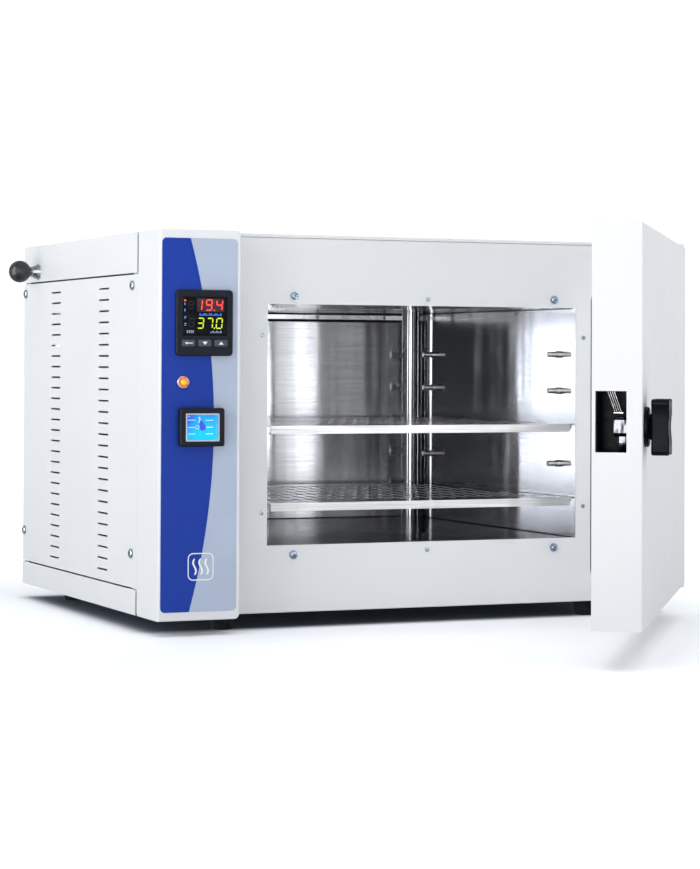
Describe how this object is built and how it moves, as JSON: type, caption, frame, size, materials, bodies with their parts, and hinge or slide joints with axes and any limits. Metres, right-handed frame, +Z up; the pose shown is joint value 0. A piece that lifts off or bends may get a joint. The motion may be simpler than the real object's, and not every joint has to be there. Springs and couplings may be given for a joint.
{
  "type": "laboratory incubator",
  "caption": "Bench-top laboratory incubator: white sheet-metal cabinet, control column, stainless chamber with perforated shelves, insulated side-hinged door standing open.",
  "frame": {"origin": "middle of the footprint with the door open as stored, on the surface that the feet stand on", "axes": "+Z up, +Y from the front of the cabinet to its back, +X to the right across the front"},
  "size_m": [0.7942, 1.129, 0.5125],
  "materials": {
    "white_paint": "satin powder coat",
    "galvanised_steel": "zinc plated sheet",
    "black_rubber": "matt",
    "bright_zinc": "bright plated",
    "chamber_steel": "bright brushed, nearly a mirror",
    "peg_steel": "turned",
    "shelf_steel": "bright sheet",
    "mineral_wool": "loose fibre",
    "silicone_orange": "matt sheet",
    "black_plastic": "fine satin texture",
    "collar_metal": "turned",
    "overlay_print": "satin printed film",
    "smoked_window": "gloss, with lit digits behind it",
    "grey_rubber": "matt",
    "key_grey": "satin",
    "lamp_metal": "plated",
    "lamp_orange": "lit, translucent",
    "screen_blue": "lit display",
    "circuit_board": "solder mask",
    "nylon_white": "satin",
    "gasket_rubber": "matt extrusion",
    "latch_chrome": "polished"
  },
  "bodies": {
    "cabinet": {"base_tray": "white_paint", "top_cover": "white_paint", "side_panel_left": "white_paint", "side_panel_right": "white_paint", "rear_panel": "white_paint", "front_fascia": "white_paint", "corner_posts": "galvanised_steel", "rubber_feet": "black_rubber", "fascia_washers": "bright_zinc", "fascia_large_screws": "bright_zinc", "small_screws": "bright_zinc", "side_panel_screws": "bright_zinc", "chamber_liner": "chamber_steel", "rear_wall_strip": "chamber_steel", "shelf_pegs": "peg_steel", "insulation_jacket": "mineral_wool", "heating_mats": "silicone_orange", "temperature_probe": "peg_steel", "vent_duct": "galvanised_steel", "damper_collar": "collar_metal", "control_column": "white_paint", "strike_plate": "galvanised_steel", "front_overlay": "overlay_print", "controller_bezel": "black_plastic", "controller_case": "black_plastic", "controller_window": "smoked_window", "keypad_mat": "grey_rubber", "lamp_ring": "lamp_metal", "lamp_lens": "lamp_orange", "timer_frame": "black_plastic", "timer_screen": "screen_blue", "timer_case": "black_plastic", "control_board": "circuit_board", "power_supply": "galvanised_steel", "heater_relay": "black_plastic", "terminal_block": "nylon_white", "mains_inlet": "black_plastic", "wiring_loom": "black_rubber", "hinge_brackets": "white_paint", "hinge_pins": "peg_steel"},
    "door": {"door_shell": "white_paint", "door_inner_panel": "white_paint", "door_inner_pad": "chamber_steel", "door_gasket": "gasket_rubber", "door_insulation": "mineral_wool", "latch_case": "black_plastic", "handle_rose": "black_plastic", "detent_spring": "latch_chrome", "hinge_bushes": "nylon_white"},
    "handle": {"handle_grip": "black_plastic", "handle_spindle": "peg_steel", "latch_cam": "latch_chrome"},
    "damper": {"damper_knob": "black_plastic", "damper_rod": "peg_steel", "damper_plate": "galvanised_steel"},
    "upper_shelf": {"shelf_upper": "shelf_steel"},
    "lower_shelf": {"shelf_lower": "shelf_steel"},
    "set_key": {"key_set": "key_grey"},
    "down_key": {"key_down": "key_grey"},
    "up_key": {"key_up": "key_grey"}
  },
  "joints": [
    {"name": "door_swing", "type": "hinge", "parent": "cabinet", "child": "door", "pos_m": [0.38609, -0.03713, 0.271], "axis": [0, 0, 1], "range_deg": [-54.8, 55.2]},
    {"name": "handle_turn", "type": "hinge", "parent": "door", "child": "handle", "pos_m": [0.04542, -0.53046, 0.27], "axis": [-0.8171, 0.5764, 0], "range_deg": [0, 90]},
    {"name": "damper_slide", "type": "slide", "parent": "cabinet", "child": "damper", "axis": [-1, 0, 0], "range_m": [0, 0.03]},
    {"name": "upper_shelf_slide", "type": "slide", "parent": "cabinet", "child": "upper_shelf", "axis": [0, -1, 0], "range_m": [0, 0.12]},
    {"name": "lower_shelf_slide", "type": "slide", "parent": "cabinet", "child": "lower_shelf", "axis": [0, -1, 0], "range_m": [0, 0.12]},
    {"name": "set_key_press", "type": "slide", "parent": "cabinet", "child": "set_key", "axis": [0, 1, 0], "range_m": [0, 0.0012], "stiffness_N_per_m": 450},
    {"name": "down_key_press", "type": "slide", "parent": "cabinet", "child": "down_key", "axis": [0, 1, 0], "range_m": [0, 0.0012], "stiffness_N_per_m": 450},
    {"name": "up_key_press", "type": "slide", "parent": "cabinet", "child": "up_key", "axis": [0, 1, 0], "range_m": [0, 0.0012], "stiffness_N_per_m": 450}
  ]
}
